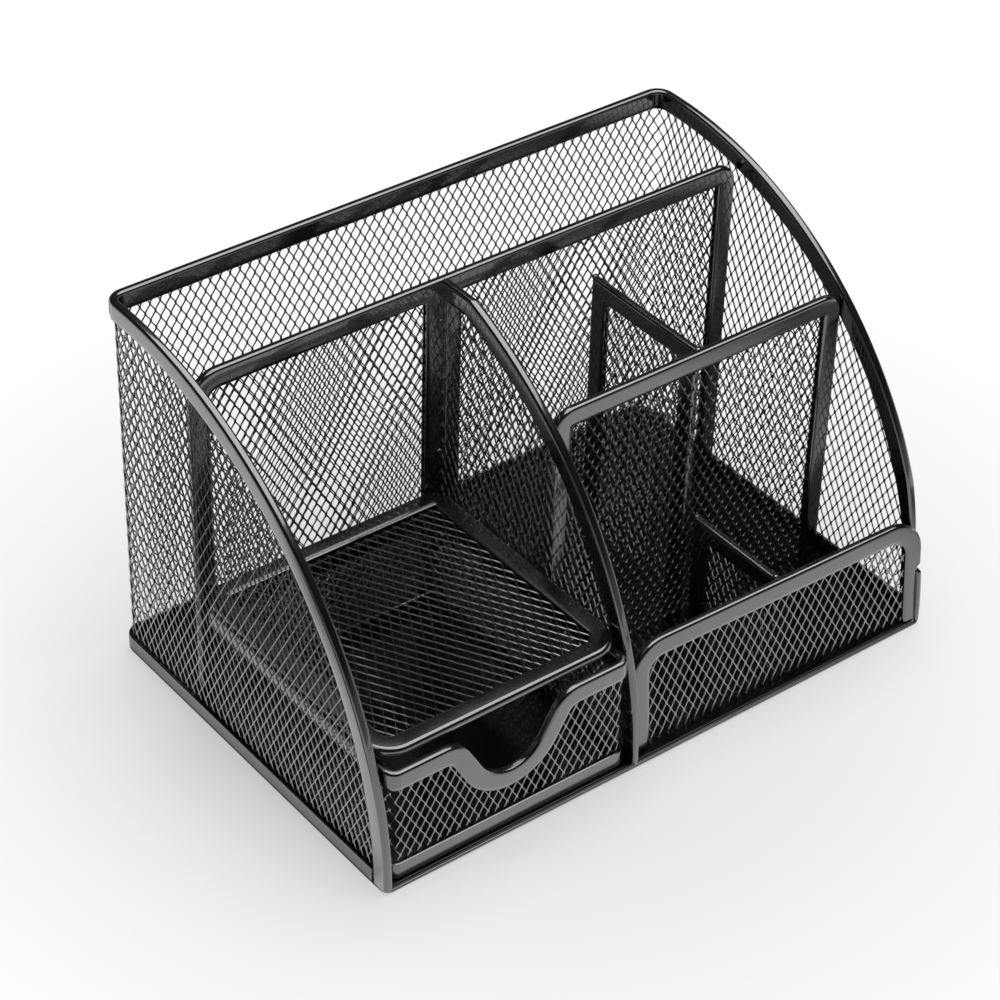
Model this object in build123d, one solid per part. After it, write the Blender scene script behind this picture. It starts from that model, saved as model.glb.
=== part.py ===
"""Desk pen stand in black expanded metal, with a drawer under its left shelf.

Millimetres. X runs along the width, Y from the front to the back and Z up. The origin is
the middle of the footprint, on the surface that the stand rests on.

Every wall is a sheet of expanded metal whose free edges sit in a folded steel rim. The walls
stand in a shallow painted pan. The two side walls and the partition between shelf and
compartments fall in a quarter round from the back to the front.
"""
from build123d import *
import os
from math import cos, radians, sin, sqrt, tan

# Overall size
WIDTH = 210.0
DEPTH = 140.0
HEIGHT = 130.0
CORNER_RADIUS = 6.0  # outside of the two upright back corners
FRONT_CORNER_RADIUS = 3.0  # of the floor

# Folded rim: a strip bent double over the edge of the mesh
RIM_FACE = 6.5
RIM_THICK = 3.0
RIM_FOLD = 0.8  # steel outside the edge of the mesh
RIM_BEVEL = 0.8  # for the round of the fold

# Expanded metal: two layers of slanting strands in a plain edge band
MESH_THICK = 1.0
MESH_GAP = 0.3  # from the edge of the mesh to the bottom of the fold
MESH_BAND = 5.5  # edge band, down from the outside of the rim
MESH_FOOT = 2.0  # edge band where the mesh has no rim
MESH_PITCH = 14.0  # across a cell
MESH_SLANT = 30.0  # of a strand from the long way of its cell
STRAND_WIDTH = 1.0
STRAND_SPLIT = 0.06  # between the two layers

# Pan
FLOOR_THICK = 1.2
FLANGE_THICK = 1.0
FLANGE_HEIGHT = 4.3  # above the floor

# Partition and dividers: middle planes and tops
PARTITION_X = -12.0
REAR_DIVIDER_Y = 30.0
REAR_DIVIDER_TOP = 122.0
REAR_LEFT_ROUND = 10.0
REAR_RIGHT_ROUND = 6.0
MIDDLE_DIVIDER_Y = -22.0
MIDDLE_DIVIDER_TOP = 101.5
MIDDLE_ROUND = 7.0
REAR_CROSS_X = 46.0
REAR_CROSS_TOP = 101.0
FRONT_CROSS_X = 48.0
FRONT_CROSS_TOP = 39.0
FRONT_PANEL_SETBACK = 3.5  # foot of the front panel behind the front edge of the floor
FRONT_PANEL_TOP = 39.5
FRONT_PANEL_LEAN = 5.0
FRONT_PANEL_ROUND = 12.0

# Shelf over the drawer
SHELF_TOP = 46.0
SHELF_SETBACK = 6.5  # front edge of the shelf behind the front edge of the floor
SHELF_FRONT_ROUND = 10.0

# Drawer
DRAWER_SIDE_GAP = 0.5
DRAWER_BACK_GAP = 1.0
DRAWER_LIFT = 0.3  # above the floor of the stand
DRAWER_SETBACK = 2.5  # front of the drawer behind the front edge of the floor
DRAWER_TOP = 41.5
DRAWER_FLOOR_THICK = 1.0
DRAWER_FLANGE_HEIGHT = 4.5
DRAWER_CORNER_RADIUS = 4.0
SCOOP_DEPTH = 19.5
SCOOP_SLOPE = 60.0
SCOOP_RADIUS = 12.0
SCOOP_SHOULDER = 10.0

# Where things come to
LEFT, RIGHT = -WIDTH / 2, WIDTH / 2
FRONT, BACK = -DEPTH / 2, DEPTH / 2
SIDE_LEFT, SIDE_RIGHT = LEFT + RIM_THICK, RIGHT - RIM_THICK  # inner faces of the side rims
PARTITION_LEFT = PARTITION_X - RIM_THICK / 2
PARTITION_RIGHT = PARTITION_X + RIM_THICK / 2
REAR_DIVIDER_FRONT = REAR_DIVIDER_Y - RIM_THICK / 2
CURVE_BACK = FRONT + HEIGHT  # the side walls' quarter round is as deep as it is high
PAST = 2 * HEIGHT  # further than any edge
BEND_ANGLES = (0, 30, 60, 90)  # folds of the strips that go round a corner


def rectangle(x0, y0, x1, y1):
    """Face between two corners."""
    return Pos((x0 + x1) / 2, (y0 + y1) / 2) * Rectangle(x1 - x0, y1 - y0)


def block(x0, y0, z0, x1, y1, z1):
    """Solid between two corners."""
    return extrude(Pos(0, 0, z0) * rectangle(x0, y0, x1, y1), z1 - z0)


def rounded(region, corner, radius):
    """Region with its corner nearest to a point rounded."""
    nearest = region.vertices().sort_by_distance(Vertex(*corner, 0))[0]
    return fillet(nearest, radius)


class Sheet:
    """Outline of one flat wall: a region run past the wall's open edges, and the box kept of it.

    The rim follows the edges that the region gives. The open edges, which the box gives, stand
    on the floor or run on round a corner.
    """

    def __init__(self, region, left=-PAST, foot=-PAST, right=PAST, top=PAST):
        self.region, self.box = region, (left, foot, right, top)

    def outline(self, inset=0.0, trim=0.0):
        """The wall, in by inset at its rimmed edges and by trim at its open ones."""
        region = offset(self.region, -inset, kind=Kind.INTERSECTION) if inset else self.region
        left, foot, right, top = self.box
        return region & rectangle(left + trim, foot + trim, right - trim, top - trim)

    def rim(self):
        """Folded strip: a bar along the rimmed edges, bevelled outside, slotted for the mesh."""
        outside, inside = self.outline(), self.outline(RIM_FACE)
        bar = extrude(outside - inside, RIM_THICK / 2, both=True)
        fold = [edge for edge in bar.edges() if is_fold(edge, outside, inside)]
        return chamfer(fold, RIM_BEVEL) - extrude(self.outline(RIM_FOLD), MESH_THICK / 2, both=True)

    def mesh(self, slant=MESH_SLANT):
        """Expanded metal: two layers of strands slanting either way, joined by the edge band."""
        whole = self.outline(RIM_FOLD + MESH_GAP)
        window = self.outline(MESH_BAND, MESH_FOOT)
        sheet = extrude(whole - window, STRAND_SPLIT / 2, both=True)
        layer = (MESH_THICK - STRAND_SPLIT) / 2
        for side in (-1, 1):
            strands = strand_rows(window.bounding_box(), side * slant)
            face = whole - (window - strands)
            sheet += extrude(Pos(0, 0, side * STRAND_SPLIT / 2) * face, side * layer)
        return sheet


def is_fold(edge, outside, inside):
    """Whether an edge of a rim's bar runs along the outside of its fold."""
    if abs(abs(edge.center().Z) - RIM_THICK / 2) > 0.01:
        return False
    probes = [edge @ t for t in (0.0, 0.5, 1.0)]
    points = [Vertex(p.X, p.Y, 0) for p in probes]
    on_outside = all(outside.wire().distance_to(point) < 0.01 for point in points)
    return on_outside and all(inside.distance_to(point) > 0.5 for point in points)


def strand_rows(box, slant):
    """Parallel strands over a box, slanting from its long way."""
    reach = (box.max.Y - box.min.Y) * tan(radians(abs(slant))) / 2 + MESH_PITCH
    length = 2 * (box.max.Y - box.min.Y) / cos(radians(slant))
    middle = (box.min.Y + box.max.Y) / 2
    first = int((box.min.X - reach) // MESH_PITCH)
    last = int((box.max.X + reach) // MESH_PITCH) + 1
    strand = Rot(0, 0, -slant) * Rectangle(STRAND_WIDTH, length)
    return Sketch() + [Pos((k + 0.5) * MESH_PITCH, middle) * strand for k in range(first, last)]


def along_width(y, lean=0.0, foot=0.0):
    """Plane of a wall that runs along X, leaning back by an angle about its foot."""
    a = radians(lean)
    return Plane(origin=(0, y, foot), x_dir=(1, 0, 0), z_dir=(0, -cos(a), sin(a)))


def along_depth(x):
    """Plane of a wall that runs along Y."""
    return Plane(origin=(x, 0, 0), x_dir=(0, 1, 0), z_dir=(1, 0, 0))


def quarter_round(radius, centre, back):
    """Region under a quarter round whose centre is on the ground, level behind the centre."""
    disc = Pos(centre, 0) * Circle(radius)
    under = rectangle(centre, -PAST, max(back, centre + RIM_THICK), radius)
    region = disc + rectangle(centre - radius, -PAST, centre, 0) + under
    return region & rectangle(-PAST, -PAST, back, PAST)


def upright(left, right, top, left_round=0.0, right_round=0.0):
    """Region of a divider with its two top corners rounded."""
    region = rectangle(left, -PAST, right, top)
    for x, radius in ((left, left_round), (right, right_round)):
        if radius:
            region = rounded(region, (x, top), radius)
    return region


def bend(outer, thick, foot, top):
    """Upright quarter ring about the Z axis, in narrow flats as a folded strip has them."""
    points = [turned(outer, a) for a in BEND_ANGLES]
    points += [turned(outer - thick, a) for a in reversed(BEND_ANGLES)]
    return extrude(Pos(0, 0, foot) * Polygon(*points, align=None), top - foot)


def corner_rim(outer, top):
    """Folded rim round an upright corner."""
    bar = bend(outer, RIM_THICK, top - RIM_FACE, top)
    ends = [face.outer_wire() for face in bar.faces() if is_end(face)]
    edges = bar.edges().group_by(Axis.Z)[-1]
    fold = [e for e in edges if all(end.distance_to(e @ 0.5) > 0.01 for end in ends)]
    slot = bend(outer - (RIM_THICK - MESH_THICK) / 2, MESH_THICK, top - RIM_FACE, top - RIM_FOLD)
    return chamfer(fold, RIM_BEVEL) - slot


def is_end(face):
    """Whether a face of a bend is in one of the planes where the bend starts and stops."""
    centre = face.center()
    return min(abs(centre.X), abs(centre.Y)) < 0.01


def corner_mesh(outer, foot, top, windows=True):
    """Mesh round an upright corner, with one column of cells in it."""
    middle = outer - RIM_THICK / 2
    sheet = bend(middle + MESH_THICK / 2, MESH_THICK, foot, top - RIM_FOLD - MESH_GAP)
    if windows:
        low, high = foot + MESH_FOOT, top - MESH_BAND
        count = int((high - low) * tan(radians(MESH_SLANT)) // MESH_PITCH)
        step = (high - low) / count
        wide, long = middle / 2, step / 2 - STRAND_WIDTH
        cell = Polygon((-wide, 0), (0, -long), (wide, 0), (0, long), align=None)
        hole = Rot(0, 0, 45) * extrude(Plane.YZ * cell, 2 * outer)
        sheet -= [Pos(0, 0, low + (k + 0.5) * step) * hole for k in range(count)]
    return sheet


def at_corners(solid, corners):
    """Copies of a corner piece, each at its corner's centre and turned by its angle."""
    return [Pos(x, y, 0) * Rot(0, 0, angle) * solid for x, y, angle in corners]


def turned(radius, angle):
    """Point at a radius and an angle in degrees."""
    return radius * cos(radians(angle)), radius * sin(radians(angle))


def save(name, *solids):
    """Write one sub-part, its solids side by side where there are several."""
    shape = solids[0] if len(solids) == 1 else Compound(children=list(solids))
    shape.label = name
    export_step(shape, f"parts/{name}.step")


def save_framed(name, plane, sheet):
    """Write a wall's rim and its mesh."""
    save(f"{name}_rim", plane * sheet.rim())
    save(f"{name}_mesh", plane * sheet.mesh())


def pan():
    """Floor with a rounded front hem, and the flange turned up round its other three sides."""
    floor = rectangle(LEFT, FRONT, RIGHT, BACK)
    for x in (LEFT, RIGHT):
        floor = rounded(floor, (x, BACK), CORNER_RADIUS)
        floor = rounded(floor, (x, FRONT), FRONT_CORNER_RADIUS)
    hem = FLOOR_THICK / 2
    side = rectangle(FRONT + hem, 0, BACK, FLOOR_THICK) + Pos(FRONT + hem, hem) * Circle(hem)
    hemmed = extrude(along_depth(0) * side, WIDTH / 2, both=True)
    save("base_floor", extrude(floor, FLOOR_THICK) & hemmed)

    top = FLOOR_THICK + FLANGE_HEIGHT
    start, stop = FRONT + RIM_FACE + MESH_GAP, BACK - CORNER_RADIUS
    save("base_flange_left", block(LEFT, start, FLOOR_THICK, LEFT + FLANGE_THICK, stop, top))
    save("base_flange_right", block(RIGHT - FLANGE_THICK, start, FLOOR_THICK, RIGHT, stop, top))
    reach = WIDTH / 2 - CORNER_RADIUS
    save("base_flange_back", block(-reach, BACK - FLANGE_THICK, FLOOR_THICK, reach, BACK, top))
    corner = bend(CORNER_RADIUS, FLANGE_THICK, FLOOR_THICK, top)
    save("base_flange_corners", *at_corners(corner, ((reach, stop, 0), (-reach, stop, 90))))


def outer_walls():
    """Side and back walls in one band of mesh, bent round the two back corners."""
    stop, reach = BACK - CORNER_RADIUS, WIDTH / 2 - CORNER_RADIUS
    side = Sheet(quarter_round(HEIGHT, CURVE_BACK, PAST), foot=FLOOR_THICK, right=stop)
    back = Sheet(rectangle(-PAST, -PAST, PAST, HEIGHT), -reach, FLOOR_THICK, reach)
    inset = RIM_THICK / 2
    save_framed("left_wall", along_depth(LEFT + inset), side)
    save_framed("right_wall", along_depth(RIGHT - inset), side)
    save_framed("back_wall", along_width(BACK - inset), back)
    corners = ((reach, stop, 0), (-reach, stop, 90))
    save("corner_rims", *at_corners(corner_rim(CORNER_RADIUS, HEIGHT), corners))
    save("corner_meshes", *at_corners(corner_mesh(CORNER_RADIUS, FLOOR_THICK, HEIGHT), corners))


def partition():
    """Wall between the shelf and the compartments: its quarter round meets the rear dividers."""
    back, top = REAR_DIVIDER_FRONT, REAR_DIVIDER_TOP
    centre = (back**2 + top**2 - FRONT**2) / (2 * (back - FRONT))
    region = quarter_round(centre - FRONT, centre, back)
    save_framed("partition", along_depth(PARTITION_X), Sheet(region, foot=FLOOR_THICK))


def dividers():
    """Walls along the width: two at the rear, one in the middle and the leaning front panel."""
    rear = along_width(REAR_DIVIDER_Y)
    left = upright(SIDE_LEFT, PARTITION_X, REAR_DIVIDER_TOP, REAR_LEFT_ROUND)
    right = upright(PARTITION_X, SIDE_RIGHT, REAR_DIVIDER_TOP, 0, REAR_RIGHT_ROUND)
    save_framed("rear_left_divider", rear, Sheet(left, foot=FLOOR_THICK))
    save_framed("rear_right_divider", rear, Sheet(right, foot=FLOOR_THICK))

    middle = upright(PARTITION_RIGHT, SIDE_RIGHT, MIDDLE_DIVIDER_TOP, MIDDLE_ROUND, MIDDLE_ROUND)
    save_framed("middle_divider", along_width(MIDDLE_DIVIDER_Y), Sheet(middle, foot=FLOOR_THICK))

    height = (FRONT_PANEL_TOP - FLOOR_THICK) / cos(radians(FRONT_PANEL_LEAN))
    front = upright(PARTITION_RIGHT, SIDE_RIGHT, height, FRONT_PANEL_ROUND, FRONT_PANEL_ROUND)
    plane = along_width(front_panel_middle(0), FRONT_PANEL_LEAN, FLOOR_THICK)
    save_framed("front_panel", plane, Sheet(front, foot=RIM_THICK * sin(radians(FRONT_PANEL_LEAN))))


def front_panel_middle(height):
    """Depth of the front panel's middle plane at a height above the floor."""
    return FRONT + FRONT_PANEL_SETBACK + RIM_THICK / 2 + height * tan(radians(FRONT_PANEL_LEAN))


def cross_dividers():
    """Two short walls along the depth that halve the middle and the front compartment."""
    half = RIM_THICK / 2
    rear = rectangle(MIDDLE_DIVIDER_Y + half, -PAST, REAR_DIVIDER_FRONT, REAR_CROSS_TOP)
    save_framed("rear_cross", along_depth(REAR_CROSS_X), Sheet(rear, foot=FLOOR_THICK))

    top = FRONT_CROSS_TOP
    behind = half / cos(radians(FRONT_PANEL_LEAN))
    front = Polygon(
        (front_panel_middle(-FLOOR_THICK - PAST) + behind, -PAST),
        (MIDDLE_DIVIDER_Y - half, -PAST),
        (MIDDLE_DIVIDER_Y - half, top),
        (front_panel_middle(top - FLOOR_THICK) + behind, top),
        align=None,
    )
    save_framed("front_cross", along_depth(FRONT_CROSS_X), Sheet(front, foot=FLOOR_THICK))


def shelf():
    """Level frame with mesh in it, between the left wall, the rear divider and the partition."""
    front = FRONT + SHELF_SETBACK
    region = rectangle(SIDE_LEFT, front, PARTITION_LEFT, REAR_DIVIDER_FRONT)
    for x in (SIDE_LEFT, PARTITION_LEFT):
        region = rounded(region, (x, front), SHELF_FRONT_ROUND)
    save_framed("shelf", Plane.XY.offset(SHELF_TOP - RIM_THICK / 2), Sheet(region))


def drawer():
    """Open box on its own pan, with a finger scoop in the front's rim."""
    left, right = SIDE_LEFT + DRAWER_SIDE_GAP, PARTITION_LEFT - DRAWER_SIDE_GAP
    front, back = FRONT + DRAWER_SETBACK, REAR_DIVIDER_FRONT - DRAWER_BACK_GAP
    bottom = FLOOR_THICK + DRAWER_LIFT
    foot = bottom + DRAWER_FLOOR_THICK
    radius, half = DRAWER_CORNER_RADIUS, RIM_THICK / 2
    x0, x1, y0, y1 = left + radius, right - radius, front + radius, back - radius
    corners = ((x1, y1, 0), (x0, y1, 90), (x0, y0, 180), (x1, y0, 270))

    floor = rectangle(left, front, right, back)
    for x, y in ((left, front), (right, front), (left, back), (right, back)):
        floor = rounded(floor, (x, y), radius)
    save("drawer_floor", extrude(Pos(0, 0, bottom) * floor, DRAWER_FLOOR_THICK))

    edge = foot + DRAWER_FLANGE_HEIGHT
    thick = FLANGE_THICK
    save("drawer_flange_front", block(x0, front, foot, x1, front + thick, edge))
    save("drawer_flange_back", block(x0, back - thick, foot, x1, back, edge))
    save("drawer_flange_left", block(left, y0, foot, left + thick, y1, edge))
    save("drawer_flange_right", block(right - thick, y0, foot, right, y1, edge))
    save("drawer_flange_corners", *at_corners(bend(radius, thick, foot, edge), corners))

    across = Sheet(scooped((left + right) / 2, DRAWER_TOP), x0, foot, x1)
    save_framed("drawer_front", along_width(front + half), across)
    level = rectangle(-PAST, -PAST, PAST, DRAWER_TOP)
    save_framed("drawer_back", along_width(back - half), Sheet(level, x0, foot, x1))
    save_framed("drawer_left", along_depth(left + half), Sheet(level, y0, foot, y1))
    save_framed("drawer_right", along_depth(right - half), Sheet(level, y0, foot, y1))
    save("drawer_corner_rims", *at_corners(corner_rim(radius, DRAWER_TOP), corners))
    mesh = corner_mesh(radius, foot, DRAWER_TOP, windows=False)
    save("drawer_corner_meshes", *at_corners(mesh, corners))


def scooped(middle, top):
    """Region under a level edge with a rounded V in it for the fingers."""
    slope = radians(SCOOP_SLOPE)
    apex = SCOOP_DEPTH + SCOOP_RADIUS * (1 / cos(slope) - 1)
    half = apex / tan(slope)
    edge = FilletPolyline(
        (middle - PAST, top),
        (middle - half, top),
        (middle, top - apex),
        (middle + half, top),
        (middle + PAST, top),
        radius=[SCOOP_SHOULDER, SCOOP_RADIUS, SCOOP_SHOULDER],
    )
    under = Polyline((middle + PAST, top), (middle + PAST, -PAST), (middle - PAST, -PAST), (middle - PAST, top))
    return make_face(edge.edges() + under.edges())


os.makedirs("parts", exist_ok=True)
pan()
outer_walls()
partition()
dividers()
cross_dividers()
shelf()
drawer()
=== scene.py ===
"""Looks of a desk pen stand in black expanded metal, with a drawer under its shelf.

Every wall is a sheet of expanded metal held in a folded steel rim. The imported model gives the
places and sizes, and this script models each sheet and each fold around them. Metres.
"""
from math import atan2, ceil, cos, pi, radians, sin, tan

import bmesh
import bpy
from mathutils import Matrix, Vector


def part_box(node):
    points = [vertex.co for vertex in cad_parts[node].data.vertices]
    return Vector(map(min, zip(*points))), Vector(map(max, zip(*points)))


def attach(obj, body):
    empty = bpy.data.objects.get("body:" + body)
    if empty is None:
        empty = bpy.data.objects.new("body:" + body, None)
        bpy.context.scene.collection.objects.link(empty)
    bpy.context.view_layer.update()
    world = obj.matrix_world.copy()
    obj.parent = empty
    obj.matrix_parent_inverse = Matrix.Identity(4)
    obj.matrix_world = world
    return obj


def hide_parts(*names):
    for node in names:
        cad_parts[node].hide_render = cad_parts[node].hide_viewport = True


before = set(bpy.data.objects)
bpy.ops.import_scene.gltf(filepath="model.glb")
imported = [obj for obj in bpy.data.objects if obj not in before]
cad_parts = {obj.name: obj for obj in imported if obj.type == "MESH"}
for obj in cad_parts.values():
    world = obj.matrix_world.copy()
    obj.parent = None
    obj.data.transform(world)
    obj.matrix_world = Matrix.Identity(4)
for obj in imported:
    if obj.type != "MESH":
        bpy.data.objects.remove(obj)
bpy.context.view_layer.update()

MM = 0.001

bl_info = {
    "name": "Mesh pen stand",
    "version": (1, 0, 0),
    "blender": (4, 5, 0),
    "location": "View3D > Sidebar > Pen Stand",
    "description": "Models the expanded metal, folded rims and pans of a desk pen stand",
    "category": "Object",
}

# ------------------------------------------------------------------ sizes and colours


def length(name, description, millimetres):
    """A length property with its default in millimetres."""
    return bpy.props.FloatProperty(
        name=name, description=description, default=millimetres * MM, unit="LENGTH", precision=5
    )


def angle(name, description, degrees):
    """An angle property with its default in degrees."""
    return bpy.props.FloatProperty(
        name=name, description=description, default=radians(degrees), subtype="ANGLE"
    )


def fraction(name, description, default):
    """A property from 0 to 1."""
    return bpy.props.FloatProperty(
        name=name, description=description, default=default, min=0.0, max=1.0, subtype="FACTOR"
    )


def colour(name, description, *rgb):
    """A linear colour property."""
    return bpy.props.FloatVectorProperty(
        name=name, description=description, default=rgb, size=3, min=0.0, max=1.0, subtype="COLOR"
    )


class MeshSizes(bpy.types.PropertyGroup):
    """Sizes of the expanded metal."""

    cell_width: length("Cell width", "Short way of a diamond", 3.5)
    cell_height: length("Cell height", "Long way of a diamond", 6.0)
    strand_width: length("Strand width", "Width of a strand, seen square on", 0.34)
    strand_thick: length("Strand thickness", "Thickness of the slit sheet", 0.42)
    bond_height: length("Bond height", "Length over which two strands stay joined", 0.9)
    tilt: angle("Tilt", "Turn of each strand out of the sheet by the stretching", 25.0)
    cover: length("Cover", "From the outside of a rim to the last bonds inside it", 3.4)


class RimSizes(bpy.types.PropertyGroup):
    """Sizes of the folded strip along the free edges of a sheet."""

    face: length("Face", "Height of the strip on each side of the mesh", 6.5)
    thick: length("Thickness", "Across both sides of the fold", 3.0)
    fold: length("Fold radius", "Rounding of the outer edge", 1.1)
    lip: length("Lip thickness", "Across both sides where they close on the mesh", 2.5)
    slot: length("Slot width", "Room for the mesh between the two lips", 1.0)
    slot_depth: length("Slot depth", "How far the slot goes in", 1.5)


class Finish(bpy.types.PropertyGroup):
    """Colours and gloss of the enamel."""

    rim_colour: colour("Rim colour", "Enamel on the folded strips", 0.004, 0.004, 0.0042)
    mesh_colour: colour("Mesh colour", "Enamel on the expanded metal", 0.003, 0.003, 0.0032)
    pan_colour: colour("Pan colour", "Enamel on the two pans", 0.003, 0.003, 0.0032)
    rim_roughness: fraction("Rim roughness", "Gloss of the rims", 0.18)
    mesh_roughness: fraction("Mesh roughness", "Gloss of the mesh", 0.2)
    pan_roughness: fraction("Pan roughness", "Gloss of the pans", 0.12)
    floor_colour: colour("Floor colour", "Plain floor under the stand", 0.86, 0.86, 0.86)


# Where a rim's strip thins towards its two lips, and how the lips' edges are broken.
TAPER, LIP_CHAMFER, LIP_ROUNDING = 1.6 * MM, 0.35 * MM, 0.3 * MM
# A rim that is neither set in nor pressed: the inset, then the depth and thickness left.
PLAIN = 0.0, 1.0, 1.0
# Heights in mm at which a leg with a pressed or notched foot gets extra points.
FOOT_STOPS = (20, 20.6, 21.4, 22)
# Rounding of a pan's edges, as a share of its thickness.
PAN_ROUNDING = 0.42
# For each enamel, the share of fine grain in its bump, and its refractive index.
ENAMELS = {"rim": (0.5, 1.8), "mesh": (0.7, 2.2), "pan": (0.35, 1.38)}

# ------------------------------------------------------------------ shader maths


class Term:
    """A shader socket on which sums can be written."""

    def __init__(self, tree, socket):
        self.tree, self.socket = tree, socket

    def maths(self, operation, *values):
        node = self.tree.nodes.new("ShaderNodeMath")
        node.operation = operation
        for slot, value in zip(node.inputs, values):
            feed(self.tree, slot, value)
        return Term(self.tree, node.outputs[0])

    def __add__(self, other):
        return self.maths("ADD", self, other)

    def __sub__(self, other):
        return self.maths("SUBTRACT", self, other)

    def __rsub__(self, other):
        return self.maths("SUBTRACT", other, self)

    def __mul__(self, other):
        return self.maths("MULTIPLY", self, other)

    __radd__, __rmul__ = __add__, __mul__

    def clamped(self):
        return self.maths("MINIMUM", self.maths("MAXIMUM", self, 0.0), 1.0)


def feed(tree, slot, value):
    """Links a term to a socket, or sets the socket's own value."""
    if isinstance(value, Term):
        tree.links.new(value.socket, slot)
    else:
        slot.default_value = value


class Shader:
    """Node tree of a material or of the world."""

    def __init__(self, owner):
        owner.use_nodes = True
        self.owner, self.tree = owner, owner.node_tree
        self.tree.nodes.clear()

    def node(self, kind, output=0, settings=None, **values):
        """Adds a node, sets it up, feeds its sockets and returns one of its outputs."""
        node = self.tree.nodes.new("ShaderNode" + kind)
        for key, value in (settings or {}).items():
            setattr(node, key, value)
        for key, value in values.items():
            feed(self.tree, node.inputs[key.replace("_", " ")], value)
        return Term(self.tree, node.outputs[output]) if node.outputs else node

    def noise(self, per_metre, detail=2.0):
        """Fractal noise with so many lumps to the metre, on Object coordinates."""
        place = self.node("TexCoord", "Object")
        return self.node("TexNoise", 0, Vector=place, Scale=per_metre, Detail=detail)

    def spread(self, value, low, high):
        """Stretches the part of a value between low and high over 0 to 1."""
        return ((value - low) * (1.0 / (high - low))).clamped()

    def blend(self, amount, first, second):
        """Mixes two colours."""
        node = self.tree.nodes.new("ShaderNodeMix")
        node.data_type = "RGBA"
        for slot, value in ((0, amount), (6, first), (7, second)):
            feed(self.tree, node.inputs[slot], value)
        return Term(self.tree, node.outputs[2])

    def mixed(self, amount, first, second):
        """Mixes two surfaces."""
        node = self.tree.nodes.new("ShaderNodeMixShader")
        for slot, value in enumerate((amount, first, second)):
            feed(self.tree, node.inputs[slot], value)
        return Term(self.tree, node.outputs[0])


def grey(level):
    """A grey as four numbers."""
    return level, level, level, 1.0


def rgba(rgb, gain=1.0):
    """A colour property as four numbers, made lighter by a gain."""
    return (*(min(1.0, part * gain) for part in rgb), 1.0)


def enamel(name, rgb, roughness, peel, index):
    """Baked enamel on steel: near black, with the slight waviness of a sprayed coat."""
    shader = Shader(bpy.data.materials.new(name))
    mottle = shader.spread(shader.noise(90.0, detail=4.0), low=0.35, high=0.7)
    fine = shader.noise(1100.0, detail=2.0)
    waves = shader.noise(260.0, detail=1.0)
    shade = shader.blend(mottle, rgba(rgb), rgba(rgb, gain=1.7))
    height = fine * peel + waves * (1.0 - peel)
    bump = shader.node("Bump", Height=height, Strength=0.22, Distance=0.00006)
    surface = shader.node(
        "BsdfPrincipled",
        Base_Color=shade,
        Roughness=mottle * 0.07 + roughness,
        IOR=index,
        Coat_Weight=1.0,
        Coat_IOR=index - 0.1,
        Coat_Roughness=0.05,
        Normal=bump,
    )
    shader.node("OutputMaterial", Surface=surface)
    return shader.owner


def material(slot):
    """The enamel of a record slot, made once."""
    kind = slot.split("_")[0]
    name = kind + "_enamel"
    if name not in bpy.data.materials:
        looks = bpy.context.scene.stand_finish
        rgb, roughness = getattr(looks, kind + "_colour"), getattr(looks, kind + "_roughness")
        enamel(name, rgb, roughness, *ENAMELS[kind])
    return bpy.data.materials[name]


# ------------------------------------------------------------------ outlines


def arc(u, v, radius, start, stop, steps):
    """Points round part of a circle, angles in degrees."""
    turns = [radians(start + (stop - start) * k / steps) for k in range(steps + 1)]
    return [(u + radius * cos(t), v + radius * sin(t)) for t in turns]


def rounded(corners, turn_per_point=11.0):
    """Outline through corners, each given as u, v and a radius for its rounding."""
    points = []
    for k, (u, v, radius) in enumerate(corners):
        if not radius:
            points.append((u, v))
            continue
        before, after = corners[k - 1], corners[(k + 1) % len(corners)]
        one = Vector((before[0] - u, before[1] - v)).normalized()
        two = Vector((after[0] - u, after[1] - v)).normalized()
        half = one.angle(two) / 2
        spot = Vector((u, v))
        centre = spot + (one + two).normalized() * radius / sin(half)
        begin = spot + one * radius / tan(half) - centre
        end = spot + two * radius / tan(half) - centre
        sweep_angle = begin.angle_signed(end)
        steps = max(2, ceil(abs(sweep_angle) / radians(turn_per_point)))
        for step in range(steps + 1):
            spoke = Matrix.Rotation(-sweep_angle * step / steps, 2) @ begin
            points.append(tuple(centre + spoke))
    return points


def rectangle(left, bottom, right, top, *radii):
    """Edge of a rectangle, round from its lower left, with a radius for each corner."""
    spots = (left, bottom), (left, top), (right, top), (right, bottom)
    return rounded([(*spot, radius) for spot, radius in zip(spots, radii)])


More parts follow.
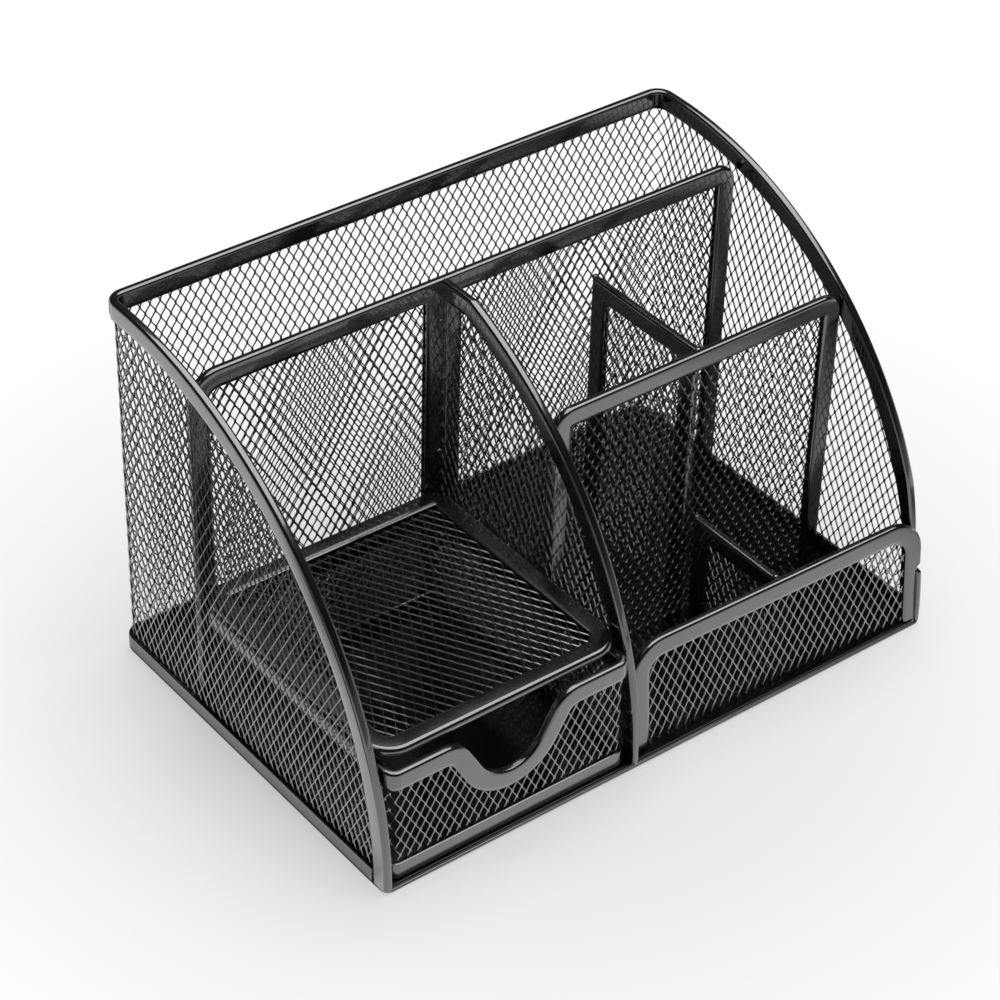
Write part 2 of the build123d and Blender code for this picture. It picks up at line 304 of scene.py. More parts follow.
class Outline:
    """Edge of a sheet in its own plane, with the sheet on its right-hand side."""

    def __init__(self, points, closed=False, first=None, final=None):
        self.points = []
        for point in map(Vector, points):
            if not self.points or (point - self.points[-1]).length > 1e-6:
                self.points.append(point)
        self.closed = closed
        self.first, self.final = first, final

    def inward(self):
        """At each point, the step in the plane that moves the edge in by one."""
        points, steps = self.points, []
        count = len(points)
        for k in range(count):
            sides = []
            if k or self.closed:
                sides.append(points[k] - points[k - 1])
            if k < count - 1 or self.closed:
                sides.append(points[(k + 1) % count] - points[k])
            normals = [Vector((s.y, -s.x)).normalized() for s in sides]
            end = self.first if k == 0 else self.final if k == count - 1 else None
            if end and not self.closed:
                along = Vector(end)
                steps.append(along / along.dot(normals[0]))
            elif len(normals) == 1:
                steps.append(normals[0])
            else:
                both = normals[0] + normals[1]
                steps.append(both / (1 + normals[0].dot(normals[1])))
        return steps

    def stopped_at(self, *heights):
        """Adds a point wherever the edge passes one of these heights."""
        points = self.points[:1]
        for one, two in zip(self.points, self.points[1:]):
            passed = [(h - one.y) / (two.y - one.y) for h in heights if (one.y < h) != (two.y < h)]
            points += [one.lerp(two, portion) for portion in sorted(passed)] + [two]
        self.points = points
        return self

    def moved_in(self, distance, pinch=None):
        """The outline's points, moved in by a distance, and by any setting in of the rim."""
        insets = [pinch(p)[0] if pinch else 0.0 for p in self.points]
        return [p + n * (distance + i) for p, n, i in zip(self.points, self.inward(), insets)]


def inside(polygon, point):
    """Whether a point lies in a polygon."""
    odd = False
    for one, two in zip(polygon, polygon[1:] + polygon[:1]):
        if (one.y > point.y) != (two.y > point.y):
            cross = one.x + (point.y - one.y) * (two.x - one.x) / (two.y - one.y)
            odd = odd != (point.x < cross)
    return odd


# ------------------------------------------------------------------ mesh tools


def verts_in(geometry):
    """The vertices in what a mesh operation made."""
    return [part for part in geometry if isinstance(part, bmesh.types.BMVert)]


def faces_in(geometry):
    """The faces in what a mesh operation made."""
    return [part for part in geometry if isinstance(part, bmesh.types.BMFace)]


def sweep(outline, section, pinch=None):
    """Carries a closed section along an outline: its first number goes in, its second across.

    A pinch gives, for a point of the outline, how far the section is set in there, and how
    much of its depth and of its thickness is left.
    """
    bm = bmesh.new()
    stations = []
    across = Vector((0, 0, 1))
    for point, step in zip(outline.points, outline.inward()):
        inset, depth, thick = pinch(point) if pinch else (0.0, 1.0, 1.0)
        into = step.to_3d()
        along = into.cross(across)
        station = Matrix((into * depth, across * thick, along)).transposed().to_4x4()
        station.translation = point.to_3d() + into * inset
        stations.append(station)
    start = bm.faces.new([bm.verts.new(stations[0] @ Vector((a, n, 0))) for a, n in section])
    ring, before = list(start.edges), stations[0]
    ends = stations[1:] + stations[:1] if outline.closed else stations[1:]
    for after in ends:
        made = bmesh.ops.extrude_edge_only(bm, edges=ring)["geom"]
        ring = [e for e in made if isinstance(e, bmesh.types.BMEdge) and e.is_boundary]
        bmesh.ops.transform(bm, matrix=after @ before.inverted(), verts=verts_in(made))
        before = after
    if outline.closed:
        bm.faces.remove(start)
        bmesh.ops.remove_doubles(bm, verts=bm.verts, dist=1e-7)
    else:
        bmesh.ops.contextual_create(bm, geom=ring)
    return bm


def open_ends(bm):
    """Takes the end faces off a strip whose two ends meet once it is bent round."""
    ends = [face for face in bm.faces if len(face.verts) > 4]
    bmesh.ops.delete(bm, geom=ends, context="FACES_ONLY")


def folded_strip(fold=None):
    """Section of a rim: a strip bent double over the mesh, its outer edge rounded."""
    s = bpy.context.scene.rim_sizes
    half = s.thick / 2
    fold, steps = fold or s.fold, 5
    nose = [
        (fold - fold * cos(t), half - fold + fold * sin(t))
        for t in (pi / 2 * k / steps for k in range(steps + 1))
    ]
    side = [
        (s.face - TAPER, half),
        (s.face - LIP_CHAMFER, s.lip / 2),
        (s.face, s.lip / 2 - LIP_ROUNDING),
        (s.face, s.slot / 2),
        (s.face - s.slot_depth, s.slot / 2),
    ]
    upper = nose + side
    return upper + [(a, -n) for a, n in reversed(upper)]


def lattice(outline, bottom_left, top_right, mirrored=False, pinch=None):
    """Expanded metal over a box, kept where its bonds lie well inside the outline's rim."""
    s = bpy.context.scene.mesh_sizes
    bm = cell(mirrored)
    column = bm.faces.layers.int["column"]
    row = bm.faces.layers.int["row"]
    left, bottom = bottom_left
    across = ceil((top_right[0] - left) / s.cell_width) + 1
    up = ceil((top_right[1] - bottom) / s.cell_height) + 1
    repeat(bm, row, 2 * up, 2, Vector((0, s.cell_height / 2, 0)))
    repeat(bm, column, 2 * across, 2, Vector((s.cell_width / 2, 0, 0)))
    bmesh.ops.remove_doubles(bm, verts=bm.verts, dist=1e-6)
    keep = outline.moved_in(s.cover, pinch)
    if not outline.closed:
        low = bottom - s.cell_height
        keep = [Vector((keep[0].x, low))] + keep + [Vector((keep[-1].x, low))]
    base = bottom + s.bond_height / 2
    known, gone = {}, []
    for face in bm.faces:
        key = face[column], face[row]
        if key not in known:
            x, y = left + key[0] * s.cell_width / 2, base + key[1] * s.cell_height / 2
            known[key] = inside(keep, Vector((x, y)))
        if not known[key]:
            gone.append(face)
    bmesh.ops.delete(bm, geom=gone, context="FACES")
    bmesh.ops.translate(bm, vec=(left, base, 0), verts=bm.verts)
    cut = [edge for edge in bm.edges if edge.is_boundary]
    bmesh.ops.holes_fill(bm, edges=cut, sides=0)
    return bm


def cell(mirrored):
    """Two bonds of the expanded metal, each with the two strands that rise from it."""
    s = bpy.context.scene.mesh_sizes
    bm = bmesh.new()
    column = bm.faces.layers.int.new("column")
    row = bm.faces.layers.int.new("row")
    turn = Matrix.Rotation(-s.tilt if mirrored else s.tilt, 3, "Y")
    wide = turn @ Vector((s.strand_width, 0, 0))
    deep = turn @ Vector((0, 0, s.strand_thick / 2))
    up = Vector((0, s.bond_height, 0))
    back, front = (
        [bm.verts.new(wide * k + deep * side - up / 2) for k in (-1, 0, 1)] for side in (-1, 1)
    )
    halves = [bm.faces.new((back[k], back[k + 1], front[k + 1], front[k])) for k in (0, 1)]
    made = bmesh.ops.extrude_face_region(bm, geom=halves, use_keep_orig=False)["geom"]
    bmesh.ops.translate(bm, vec=up, verts=verts_in(made))
    tops = faces_in(made)
    bmesh.ops.delete(bm, geom=[f for f in halves if f.is_valid], context="FACES_ONLY")
    tops.sort(key=lambda f: f.calc_center_median().x)
    rise = Vector((0, s.cell_height / 2 - s.bond_height, 0))
    for side, top in zip((-1, 1), tops):
        reach = Vector((s.cell_width / 2, 0, 0)) - wide
        strand = bmesh.ops.extrude_discrete_faces(bm, faces=[top])["faces"][0]
        bmesh.ops.translate(bm, vec=rise + reach * side, verts=strand.verts)
        bm.faces.remove(strand)
    for face in bm.faces:
        face[column] = face[row] = 0
    twin = bmesh.ops.duplicate(bm, geom=bm.faces[:])["geom"]
    step = Vector((s.cell_width, s.cell_height, 0)) / 2
    bmesh.ops.translate(bm, vec=step, verts=verts_in(twin))
    for face in faces_in(twin):
        face[column] = face[row] = 1
    return bm


def repeat(bm, layer, wanted, have, step):
    """Doubles what is there along a step until a layer's count is reached."""
    while have < wanted:
        more = min(have, wanted - have)
        chosen = [f for f in bm.faces if f[layer] < more]
        made = bmesh.ops.duplicate(bm, geom=chosen)["geom"]
        bmesh.ops.translate(bm, vec=step * have, verts=verts_in(made))
        for face in faces_in(made):
            face[layer] += have
        have += more


def piece(name, bm, slot, body, *nodes, smooth=30.0):
    """Makes a finished piece from a mesh: its material, its body and the nodes it stands for."""
    bmesh.ops.recalc_face_normals(bm, faces=bm.faces)
    for face in bm.faces:
        face.smooth = True
    for edge in bm.edges:
        edge.smooth = len(edge.link_faces) == 2 and edge.calc_face_angle(0.0) < radians(smooth)
    mesh = bpy.data.meshes.new(name)
    bm.to_mesh(mesh)
    bm.free()
    thing = bpy.data.objects.new(name, mesh)
    bpy.context.scene.collection.objects.link(thing)
    mesh.materials.append(material(slot))
    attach(thing, body)
    if nodes:
        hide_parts(*nodes)
    return thing


def weighted(thing):
    """Keeps the flats flat next to the rounded folds."""
    modifier = thing.modifiers.new("flat sides", "WEIGHTED_NORMAL")
    modifier.keep_sharp = True
    modifier.weight = 100
    return thing


# ------------------------------------------------------------------ walls


class Band:
    """Upright sheet bent round a box with rounded corners, worked on while it is flat.

    Flat, it runs along x both ways from the middle of one side, up y, and z is outwards.
    """

    def __init__(self, low, high, corner, half_thick, way, closed):
        self.centre = (low + high).xy / 2
        self.x, self.y = (high.x - low.x) / 2 - corner, (high.y - low.y) / 2 - corner
        self.radius = corner - half_thick
        self.bend = self.radius * pi / 2
        self.way, self.closed = way, closed
        side = self.x + self.bend + 2 * self.y
        self.half = side + self.bend + self.x if closed else side + corner

    def place(self, flat):
        """Where a point of the flat sheet goes."""
        along, out = abs(flat.x), self.radius + flat.z
        corner = self.x + self.bend
        if along <= self.x:
            x, y = along, self.y + out
        elif along < corner:
            turn = (along - self.x) / self.radius
            x, y = self.x + out * sin(turn), self.y + out * cos(turn)
        elif along <= corner + 2 * self.y or not self.closed:
            x, y = self.x + out, self.y - (along - corner)
        elif along < 2 * corner - self.x + 2 * self.y:
            turn = (along - corner - 2 * self.y) / self.radius
            x, y = self.x + out * cos(turn), -self.y - out * sin(turn)
        else:
            x, y = self.half - along, -self.y - out
        x = x if flat.x > 0 else -x
        return Vector((self.centre.x + self.way * x, self.centre.y + self.way * y, flat.y))

    def corners(self, steps=6):
        """Places along one half of the flat sheet where it is bent."""
        starts = [self.x] + ([self.x + self.bend + 2 * self.y] if self.closed else [])
        return [start + self.bend * k / steps for start in starts for k in range(steps + 1)]

    def bends(self):
        """The same places on both sides of its middle, from end to end."""
        return [-s for s in reversed(self.corners())] + self.corners()

    def wrap(self, bm):
        """Bends a flat mesh round the corners."""
        for vert in bm.verts:
            vert.co = self.place(vert.co)
        bmesh.ops.remove_doubles(bm, verts=bm.verts, dist=1e-6)
        return bm


def upright(x=None, y=None):
    """Plane of an upright sheet: across it runs +X or +Y, up it runs +Z."""
    if x is None:
        return Matrix(((1, 0, 0, 0), (0, 0, -1, y), (0, 1, 0, 0), (0, 0, 0, 1)))
    return Matrix(((0, 0, 1, x), (1, 0, 0, 0), (0, 1, 0, 0), (0, 0, 0, 1)))


def sheet_pair(name, outline, matrix, body, mirrored=False, pinch=None, fold=None):
    """The expanded metal of a flat wall and the rim folded over its edge."""
    spots = outline.points
    low = min(p.x for p in spots), min(p.y for p in spots)
    high = max(p.x for p in spots), max(p.y for p in spots)
    mesh = lattice(outline, low, high, mirrored)
    if pinch:
        outline.stopped_at(*(height * MM for height in FOOT_STOPS))
    rim = sweep(outline, folded_strip(fold), pinch)
    for bm in (mesh, rim):
        bmesh.ops.transform(bm, matrix=matrix, verts=bm.verts)
    net = piece(name + "_lattice", mesh, "mesh_paint", body, name + "_mesh")
    return net, weighted(piece(name + "_fold", rim, "rim_paint", body, name + "_rim"))


def degrees_up(height, radius):
    """Angle at which a circle about the ground reaches a height."""
    return atan2(height, (radius ** 2 - height ** 2) ** 0.5) * 180 / pi


def quarter_round(foot, top, front, depth, steps=34):
    """Edge of a side sheet: from its foot at the front up round a quarter to its top."""
    start = degrees_up(foot, depth)
    spots = arc(front + depth, 0.0, depth, 180.0 - start, 90.0, steps)
    stop = [p for p in spots if p[1] < top]
    last = front + depth - (depth ** 2 - top ** 2) ** 0.5 if top < depth else front + depth
    return stop + [(last, top)]


# ------------------------------------------------------------------ the pieces


class OuterWalls(bpy.types.Operator):
    """The back and both sides: one sheet bent round two corners, and the rim along its edge."""

    bl_idname = "penstand.outer_walls"
    bl_label = "Outer walls"
    # Heights up the right leg in mm, and how far the rim is set in at each, in mm.
    leg = ((0.0, 0.4), (19.6, 0.4), (20.4, 4.2), (40.0, 1.6), (50.0, 0.3), (62.0, 0.0))
    # Height of the leg's pressed foot, and the share of its thickness that is left there.
    foot_height, foot_thickness = 20 * MM, 0.62

    def execute(self, context):
        low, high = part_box("base_floor")
        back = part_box("back_wall_rim")[1]
        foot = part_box("left_wall_rim")[0].z
        thick = context.scene.rim_sizes.thick
        band = Band(low, high, back.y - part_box("left_wall_rim")[1].y, thick / 2, 1, False)
        depth = back.z
        side = quarter_round(foot, depth, 0.0, depth)
        left = [(-band.half + u, v) for u, v in side]
        top = [(s, depth) for s in band.bends()]
        right = [(-u, v) for u, v in reversed(left)]
        outline = Outline(left + top + right, first=(1, 0), final=(-1, 0))
        outline.stopped_at(*(height * MM for height, _ in self.leg))
        mesh = lattice(outline, (-band.half, foot), (band.half, depth), True, self.set_back)
        rim = sweep(outline, folded_strip(), self.set_back)
        walls = ("back_wall", "left_wall", "right_wall")
        meshes = [wall + "_mesh" for wall in walls] + ["corner_meshes"]
        rims = [wall + "_rim" for wall in walls] + ["corner_rims"]
        piece("outer_lattice", band.wrap(mesh), "mesh_paint", "stand", *meshes)
        weighted(piece("outer_fold", band.wrap(rim), "rim_paint", "stand", *rims))
        return {"FINISHED"}

    def set_back(self, point):
        """The right side's leg, pressed back where the front panel's rim laps over it."""
        if point.x < 0 or point.y > self.leg[-1][0] * MM:
            return PLAIN
        for (low, one), (high, two) in zip(self.leg, self.leg[1:]):
            if point.y <= high * MM:
                inset = (one + (two - one) * max(0.0, point.y / MM - low) / (high - low)) * MM
                break
        depth = 1.0 - inset / bpy.context.scene.rim_sizes.face
        return inset, depth, self.foot_thickness if point.y < self.foot_height else 1.0


class Partition(bpy.types.Operator):
    """The sheet from front to back between the shelf bay and the compartments."""

    bl_idname = "penstand.partition"
    bl_label = "Partition"
    # The leg's foot and the step above it, each as the height of its top in mm, the rim's inset
    # in mm, and the shares of the rim's depth and thickness.
    foot = ((20.4, 0.5, 0.86, 0.74), (21.6, 0.0, 1.0, 1.16))

    def execute(self, context):
        low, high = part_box("partition_rim")
        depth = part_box("back_wall_rim")[1].z
        front = quarter_round(low.z, high.z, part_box("base_floor")[0].y, depth)
        edge = front + [(high.y, high.z)]
        outline = Outline(edge, first=(1, 0), final=(0, -1))
        place = upright(x=(low.x + high.x) / 2)
        sheet_pair("partition", outline, place, "stand", pinch=self.crimp)
        return {"FINISHED"}

    def crimp(self, point):
        """The foot of the leg, pressed narrower below a small step."""
        for top, inset, depth, thickness in self.foot:
            if point.y / MM <= top:
                return inset * MM, depth, thickness
        return PLAIN


class Dividers(bpy.types.Operator):
    """The three sheets across the stand, rounded at the top corners that stand free."""

    bl_idname = "penstand.dividers"
    bl_label = "Dividers"
    # Radii of each sheet's top left and top right corner.
    corners = {
        "rear_left_divider": (10 * MM, 0),
        "rear_right_divider": (0, 6.7 * MM),
        "middle_divider": (7 * MM, 7 * MM),
    }

    def execute(self, context):
        for name, (left, right) in self.corners.items():
            low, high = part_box(name + "_rim")
            edge = rectangle(low.x, low.z, high.x, high.z, 0, left, right, 0)
            outline = Outline(edge, first=(1, 0), final=(-1, 0))
            sheet_pair(name, outline, upright(y=(low.y + high.y) / 2), "stand")
        return {"FINISHED"}


class CrossDividers(bpy.types.Operator):
    """The two short sheets that part the compartments from side to side."""

    bl_idname = "penstand.cross_dividers"
    bl_label = "Cross dividers"
    front_gap = 2 * MM  # from the front one's box to where its rim starts, as it has no front leg

    def execute(self, context):
        for name in ("rear_cross", "front_cross"):
            low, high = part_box(name + "_rim")
            if name == "rear_cross":
                edge = rectangle(low.y, low.z, high.y, high.z, 0, 0, 0, 0)
                outline = Outline(edge, first=(1, 0), final=(-1, 0))
            else:
                edge = [(low.y + self.front_gap, high.z), (high.y, high.z), (high.y, low.z)]
                outline = Outline(edge, final=(-1, 0))
            sheet_pair(name, outline, upright(x=(low.x + high.x) / 2), "stand")
        return {"FINISHED"}


class FrontPanel(bpy.types.Operator):
    """The low sheet across the front, leaning back a little."""

    bl_idname = "penstand.front_panel"
    bl_label = "Front panel"
    lean: angle("Lean", "Turn of the panel back from upright", 5.0)
    bow: length("Bow", "How far its right end comes forward over the side's rim", 2.3)
    bowed_from: length("Bowed from", "Place along the panel where the bow begins", 40.0)
    corner = 12 * MM
    # The notch in the right stile's foot: where it starts, its height, how far the rim is set
    # in there, and the share of the rim's depth that is left.
    notch_start, notch_height, notch_inset, notch_depth = 60 * MM, 20.3 * MM, 1.3 * MM, 0.8

    def execute(self, context):
        low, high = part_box("front_panel_rim")
        thick = context.scene.rim_sizes.thick
        foot = low + Vector((0, thick / 2 * cos(self.lean), 0))
        tall = (high.z - low.z - thick / 2 * sin(self.lean)) / cos(self.lean)
        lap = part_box("right_wall_rim")[1].x - low.x
        edge = rectangle(0, 0, lap, tall, 0, self.corner, self.corner, 0)
        outline = Outline(edge, first=(1, 0), final=(-1, 0))
        matrix = Matrix.Translation(foot) @ Matrix.Rotation(-self.lean, 4, "X") @ upright(y=0)
        for made in sheet_pair("front_panel", outline, matrix, "stand", True, pinch=self.notch):
            for vert in made.data.vertices:
                past = max(0.0, vert.co.x - self.bowed_from)
                vert.co.y -= self.bow * min(1.0, past / (high.x - self.bowed_from)) ** 2
        return {"FINISHED"}

    def notch(self, point):
        """The right stile's foot, cut back beside the side's leg."""
        if point.x < self.notch_start or point.y > self.notch_height:
            return PLAIN
        return self.notch_inset, self.notch_depth, 1.0


class Welds(bpy.types.Operator):
    """Small beads of weld where the rims of two sheets meet."""

    bl_idname = "penstand.welds"
    bl_label = "Welds"
    radius: length("Radius", "Size of a bead", 0.9)
    flattened = (1.25, 1.0, 0.6)
    # Heights in mm of the beads on the middle divider and on the rear left one.
    middle_heights, rear_heights = (40, 88), (60, 108)
    # From the front cross divider's front, and from the rear left divider's end, to the beads.
    front_inset, end_inset = 3.2 * MM, 1.5 * MM

    def execute(self, context):
        bm = bmesh.new()
        for spot in self.spots():
            made = bmesh.ops.create_icosphere(bm, subdivisions=2, radius=self.radius)["verts"]
            bmesh.ops.scale(bm, vec=self.flattened, verts=made)
            bmesh.ops.translate(bm, vec=spot, verts=made)
        piece("weld_beads", bm, "rim_paint", "stand", smooth=180.0)
        return {"FINISHED"}

    def spots(self):
        """Both ends of each cross divider's top, and where two dividers meet the partition."""
        found = []
        for name, inset in (("rear_cross_rim", 0.0), ("front_cross_rim", self.front_inset)):
            low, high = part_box(name)
            x = (low.x + high.x) / 2
            found += [Vector((x, y, high.z)) for y in (low.y + inset, high.y)]
        low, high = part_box("middle_divider_rim")
        for y in (low.y, high.y):
            found += [Vector((low.x, y, z * MM)) for z in self.middle_heights]
        low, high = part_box("rear_left_divider_rim")
        found += [Vector((high.x - self.end_inset, low.y, z * MM)) for z in self.rear_heights]
        return found


class Shelf(bpy.types.Operator):
    """The tray over the drawer: a sheet in a closed frame with rounded corners."""

    bl_idname = "penstand.shelf"
    bl_label = "Shelf"
    mirrored: bpy.props.BoolProperty(
        name="Mirrored", description="Turn the strands the other way", default=True
    )
    front_corner, back_corner = 10 * MM, 7 * MM

    def execute(self, context):
        low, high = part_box("shelf_rim")
        front, back = self.front_corner, self.back_corner
        edge = rectangle(low.x, low.y, high.x, high.y, front, back, back, front)
        outline = Outline(edge, closed=True)
        place = Matrix.Translation((0, 0, (low.z + high.z) / 2))
        sheet_pair("shelf", outline, place, "stand", self.mirrored, fold=(high.z - low.z) / 2)
        return {"FINISHED"}


def tray(name, node, front, back, body, set_back=0.0):
    """Flat floor pressed from sheet, its edges rounded, with radii for its corners."""
    low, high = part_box(node)
    low.y += set_back
    edge = rectangle(low.x, low.y, high.x, high.y, front, back, back, front)
    bm = bmesh.new()
    floor = bm.faces.new([bm.verts.new((x, y, low.z)) for x, y in reversed(edge)])
    made = bmesh.ops.extrude_face_region(bm, geom=[floor], use_keep_orig=True)["geom"]
    bmesh.ops.translate(bm, vec=(0, 0, high.z - low.z), verts=verts_in(made))
    rims = [e for e in bm.edges if abs(e.verts[0].co.z - e.verts[1].co.z) < 1e-9]
    bmesh.ops.bevel(
        bm,
        geom=rims,
        offset=PAN_ROUNDING * (high.z - low.z),
        offset_type="OFFSET",
        affect="EDGES",
        segments=3,
        profile=0.5,
        material=-1,
    )
    return weighted(piece(name, bm, "pan_paint", body, node))


def low_strip(name, band, end, side, body):
    """The strip with a rounded top that stands round the foot of a bent sheet, outside it."""
    low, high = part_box(side + "_left")
    tall, thick = high.z - low.z, high.x - low.x
    half, steps = thick / 2, 4
    cap = [
        (half - tall - half * sin(t), half - thick - half * cos(t))
        for t in (pi * k / steps for k in range(steps + 1))
    ]
    section = [(0.0, -thick), *cap, (0.0, 0.0)]
    bm = sweep(Outline([(s, low.z) for s in (-end, *band.bends(), end)]), section)
    if band.closed:
        open_ends(bm)
    nodes = [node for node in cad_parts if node.startswith(side)]
    weighted(piece(name, band.wrap(bm), "rim_paint", body, *nodes))


class Pan(bpy.types.Operator):
    """The base: a pressed floor and the strip that stands round the foot of the outer walls."""

    bl_idname = "penstand.pan"
    bl_label = "Base pan"
    front_corner, set_back, hem_width = 3 * MM, 1.5 * MM, 1.2 * MM

    def execute(self, context):
        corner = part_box("back_wall_rim")[1].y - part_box("left_wall_rim")[1].y
        tray("base_pan", "base_floor", self.front_corner, corner, "stand", self.set_back)
        self.hem()
        low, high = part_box("base_floor")
        band = Band(low, high, corner, 0.0, 1, False)
        end = band.half + low.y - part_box("base_flange_left")[0].y
        low_strip("base_strip", band, end, "base_flange", "stand")
        return {"FINISHED"}

    def hem(self):
        """The floor's front edge, folded back on itself into a rounded bead."""
        low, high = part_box("base_floor")
        radius, half_wide = self.front_corner, self.hem_width / 2
        edge = rounded(
            [
                (high.x, low.y + 2 * radius, 0),
                (high.x, low.y, radius),
                (low.x, low.y, radius),
                (low.x, low.y + 2 * radius, 0),
            ]
        )
        ring = arc(half_wide, 0.0, half_wide, 0.0, 360.0, 12)[:-1]
        bm = sweep(Outline(edge), ring)
        bmesh.ops.translate(bm, vec=(0, 0, low.z + (high.z - low.z) / 2), verts=bm.verts)
        piece("base_hem", bm, "rim_paint", "stand", "base_floor")


class Drawer(bpy.types.Operator):
    """The drawer: a closed sheet round a floor, with a scoop in the rim for the finger."""

    bl_idname = "penstand.drawer"
    bl_label = "Drawer"
    scoop_depth: length("Scoop depth", "How far the rim dips at the front", 19.5)
    scoop_slope: angle("Scoop slope", "Steepness of its sides", 60.0)
    scoop_radius: length("Scoop radius", "Rounding at its bottom", 12.0)
    shoulder: length("Shoulder radius", "Rounding at its two tops", 10.0)

    def execute(self, context):
        low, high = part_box("drawer_floor")
        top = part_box("drawer_left_rim")[1].z
        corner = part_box("drawer_left_rim")[0].y - low.y
        half = context.scene.rim_sizes.thick / 2
        band = Band(low, high, corner, half, -1, True)
        outline = Outline(self.edge(band, top))
        rim = sweep(outline, folded_strip())
        open_ends(rim)
        walls = ("front", "back", "left", "right")
        meshes = ["drawer_" + w + "_mesh" for w in walls] + ["drawer_corner_meshes"]
        rims = ["drawer_" + w + "_rim" for w in walls] + ["drawer_corner_rims"]
        weighted(piece("drawer_fold", band.wrap(rim), "rim_paint", "drawer", *rims))
        mesh = lattice(outline, (-band.half, high.z), (band.half, top))
        piece("drawer_lattice", band.wrap(mesh), "mesh_paint", "drawer", *meshes)
        tray("drawer_pan", "drawer_floor", corner, corner, "drawer")
        foot = Band(low, high, corner, 0.0, -1, True)
        low_strip("drawer_strip", foot, foot.half, "drawer_flange", "drawer")
        return {"FINISHED"}

    def edge(self, band, top):
        """The rim's line round the drawer, scoop and all."""
        run = self.scoop_depth / tan(self.scoop_slope)
        bow = self.scoop_radius * tan(self.scoop_slope / 2)
        wide = run + bow
        scoop = rounded(
            [
                (-2 * wide, top, 0),
                (-wide, top, self.shoulder),
                (-wide + run, top - self.scoop_depth, self.scoop_radius),
                (wide - run, top - self.scoop_depth, self.scoop_radius),
                (wide, top, self.shoulder),
                (2 * wide, top, 0),
            ]
        )[1:-1]
        right = [(s, top) for s in band.corners()] + [(band.half, top)]
        return [(-s, v) for s, v in reversed(right)] + scoop + right


# ------------------------------------------------------------------ stage


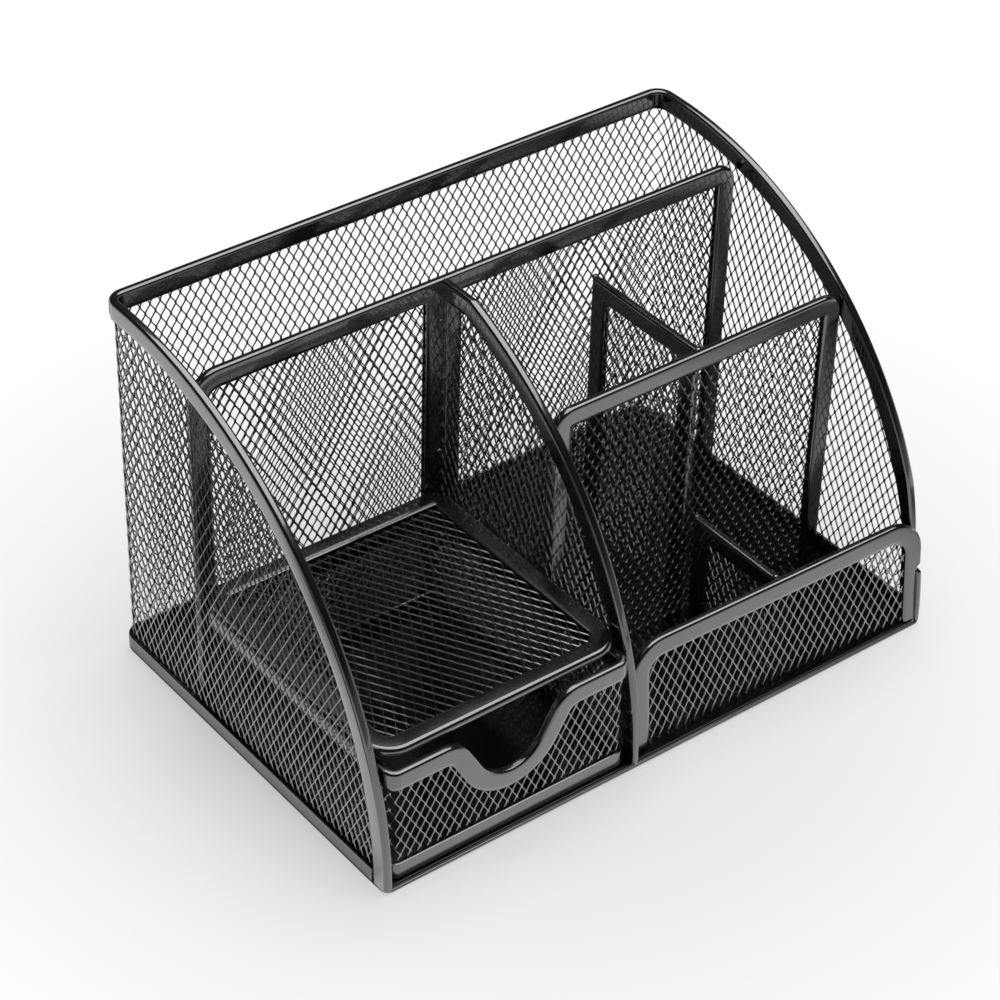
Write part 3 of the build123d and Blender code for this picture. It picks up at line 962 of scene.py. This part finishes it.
class Stage(bpy.types.Operator):
    """Plain pale floor, which glows to gloss in painted reflection patches, soft studio light and
    the camera.
    """

    bl_idname = "penstand.stage"
    bl_label = "Stage"
    azimuth: angle("Azimuth", "Camera's turn round the stand", -38.6)
    elevation: angle("Elevation", "Camera's height over the horizon", 37.25)
    roll: angle("Roll", "Camera's turn about its own view", 1.7)
    distance: length("Distance", "From the camera to the stand's middle", 959.0)
    lens: bpy.props.FloatProperty(name="Lens", description="Focal length in mm", default=114.1)
    # The stand's middle, and the camera's shift to its right and up from it.
    aim, shift = (0, 0, 65 * MM), (-9.45 * MM, -10.22 * MM)
    # The floor's half width, the share of pure white in it near the stand, and how far out it
    # starts and ends to rise to all white.
    floor_reach, near_white, white_from, white_to = 6.0, 0.45, 0.10, 0.22
    # Edges of the painted reflection patches, where the floor glows white to gloss alone, in
    # metres, each as the place where a patch starts to show and the place where it shows in full.
    front_card = {"back": (-0.060, -0.068), "right": (0.19, 0.12)}
    left_card = {"right": (-0.100, -0.115), "far": (-0.18, -0.14), "back": (0.05, 0.10)}
    right_card = {"back": (0.02, -0.02), "right": (0.20, 0.24)}
    # Share of white that the painted reflection patches add to the floor's glow to gloss; outside
    # them gloss sees the floor painted near black.
    reflection_patch_white = 0.9
    # Height over the horizon in degrees between which the room turns dark, and its two greys.
    room_turn, room_low, room_high = (8, 18), 0.25, 0.02
    softbox_place, softbox_width, softbox_power = (0.36, 0.1, 1.2), 1.5, 17.0

    def execute(self, context):
        self.floor(context)
        self.world(context)
        self.lamps(context)
        self.camera(context)
        context.scene.view_settings.view_transform = "Standard"
        return {"FINISHED"}

    def floor(self, context):
        bm = bmesh.new()
        bmesh.ops.create_grid(bm, x_segments=2, y_segments=2, size=self.floor_reach)
        mesh = bpy.data.meshes.new("floor")
        bm.to_mesh(mesh)
        bm.free()
        ground = bpy.data.objects.new("floor", mesh)
        context.scene.collection.objects.link(ground)
        shader = Shader(bpy.data.materials.new("floor"))
        tint = rgba(context.scene.stand_finish.floor_colour)
        paper = shader.node("BsdfPrincipled", Base_Color=tint, Roughness=0.9)
        place = shader.node("TexCoord", "Object")
        away = shader.node("VectorMath", "Value", {"operation": "LENGTH"}, Vector=place)
        far = shader.spread(away, self.white_from, self.white_to)
        plain = far * (1.0 - self.near_white) + self.near_white
        seen = shader.node("LightPath", "Is Camera Ray")
        mirrored = shader.node("LightPath", "Is Glossy Ray")
        # Painted reflection: to glossy rays the floor glows white in the patches and dark
        # elsewhere, which paints the enamel's reflections bright outside the stand and dark inside
        # it.
        painted_reflection_dark = mirrored * (1.0 - self.reflection_patches(shader, place))
        shade = shader.blend(painted_reflection_dark, grey(1.0), grey(0.0))
        white = shader.node("Emission", Color=shade, Strength=1.0)
        look = shader.mixed((plain * seen + mirrored).clamped(), paper, white)
        shader.node("OutputMaterial", Surface=look)
        mesh.materials.append(shader.owner)

    def reflection_patches(self, shader, place):
        """How white gloss sees the floor, as painted reflection patches: one before the stand and
        one on each side of it.
        """
        right = shader.node("SeparateXYZ", "X", Vector=place)
        back = shader.node("SeparateXYZ", "Y", Vector=place)
        front, left, side = self.front_card, self.left_card, self.right_card
        before = shader.spread(back, *front["back"]) * shader.spread(right, *front["right"])
        ends = shader.spread(right, *left["far"]) + shader.spread(back, *left["back"])
        on_left = shader.spread(right, *left["right"]) * ends.clamped()
        on_right = shader.spread(right, *side["right"]) * shader.spread(back, *side["back"])
        total = before + on_left + on_right
        return (total * self.reflection_patch_white + (1.0 - self.reflection_patch_white)).clamped()

    def world(self, context):
        """A bright sweep low down all round, and a dark room above it."""
        context.scene.world = bpy.data.worlds.new("studio")
        shader = Shader(context.scene.world)
        place = shader.node("TexCoord", "Generated")
        up = shader.node("SeparateXYZ", "Z", Vector=place)
        room = shader.spread(up, *(sin(radians(height)) for height in self.room_turn))
        shade = shader.blend(room, grey(self.room_low), grey(self.room_high))
        light = shader.node("Background", Color=shade, Strength=1.0)
        white = shader.node("Background", Color=grey(1.0), Strength=1.0)
        seen = shader.node("LightPath", "Is Camera Ray")
        shader.node("OutputWorld", Surface=shader.mixed(seen, light, white))

    def lamps(self, context):
        """One large round softbox overhead."""
        light = bpy.data.lights.new("softbox", "AREA")
        light.shape, light.size, light.energy = "DISK", self.softbox_width, self.softbox_power
        lamp = bpy.data.objects.new("softbox", light)
        context.scene.collection.objects.link(lamp)
        lamp.matrix_world = Matrix.Translation(self.softbox_place)

    def camera(self, context):
        level = cos(self.elevation)
        back = Vector(
            (sin(self.azimuth) * level, -cos(self.azimuth) * level, sin(self.elevation))
        )
        side = Vector((cos(self.azimuth), sin(self.azimuth), 0))
        turn = Matrix((side, back.cross(side), back)).transposed()
        turn = turn @ Matrix.Rotation(self.roll, 3, "Z")
        lens = bpy.data.cameras.new("camera")
        lens.lens, lens.sensor_width, lens.clip_start = self.lens, 36.0, 0.05
        camera = bpy.data.objects.new("camera", lens)
        context.scene.collection.objects.link(camera)
        camera.matrix_world = turn.to_4x4()
        offset = turn @ Vector((*self.shift, self.distance))
        camera.matrix_world.translation = Vector(self.aim) + offset
        context.scene.camera = camera


PIECES = (
    OuterWalls,
    Partition,
    Dividers,
    CrossDividers,
    FrontPanel,
    Welds,
    Shelf,
    Pan,
    Drawer,
    Stage,
)
GROUPS = {"mesh_sizes": MeshSizes, "rim_sizes": RimSizes, "stand_finish": Finish}


class PenStandPanel(bpy.types.Panel):
    """Buttons for the stand's pieces."""

    bl_idname = "VIEW3D_PT_pen_stand"
    bl_label = "Pen Stand"
    bl_space_type = "VIEW_3D"
    bl_region_type = "UI"
    bl_category = "Pen Stand"

    def draw(self, context):
        for part in PIECES:
            self.layout.operator(part.bl_idname)
        for group in (getattr(context.scene, name) for name in GROUPS):
            box = self.layout.box()
            for key in group.__annotations__:
                box.prop(group, key)


def register():
    for key, group in GROUPS.items():
        bpy.utils.register_class(group)
        setattr(bpy.types.Scene, key, bpy.props.PointerProperty(type=group))
    for part in (*PIECES, PenStandPanel):
        bpy.utils.register_class(part)


def unregister():
    for part in (PenStandPanel, *reversed(PIECES)):
        bpy.utils.unregister_class(part)
    for key, group in GROUPS.items():
        delattr(bpy.types.Scene, key)
        bpy.utils.unregister_class(group)


def main():
    register()
    for part in PIECES:
        group, name = part.bl_idname.split(".")
        if "FINISHED" not in getattr(getattr(bpy.ops, group), name)():
            raise RuntimeError(part.bl_label + " wasn't finished")


if __name__ == "__main__":
    main()
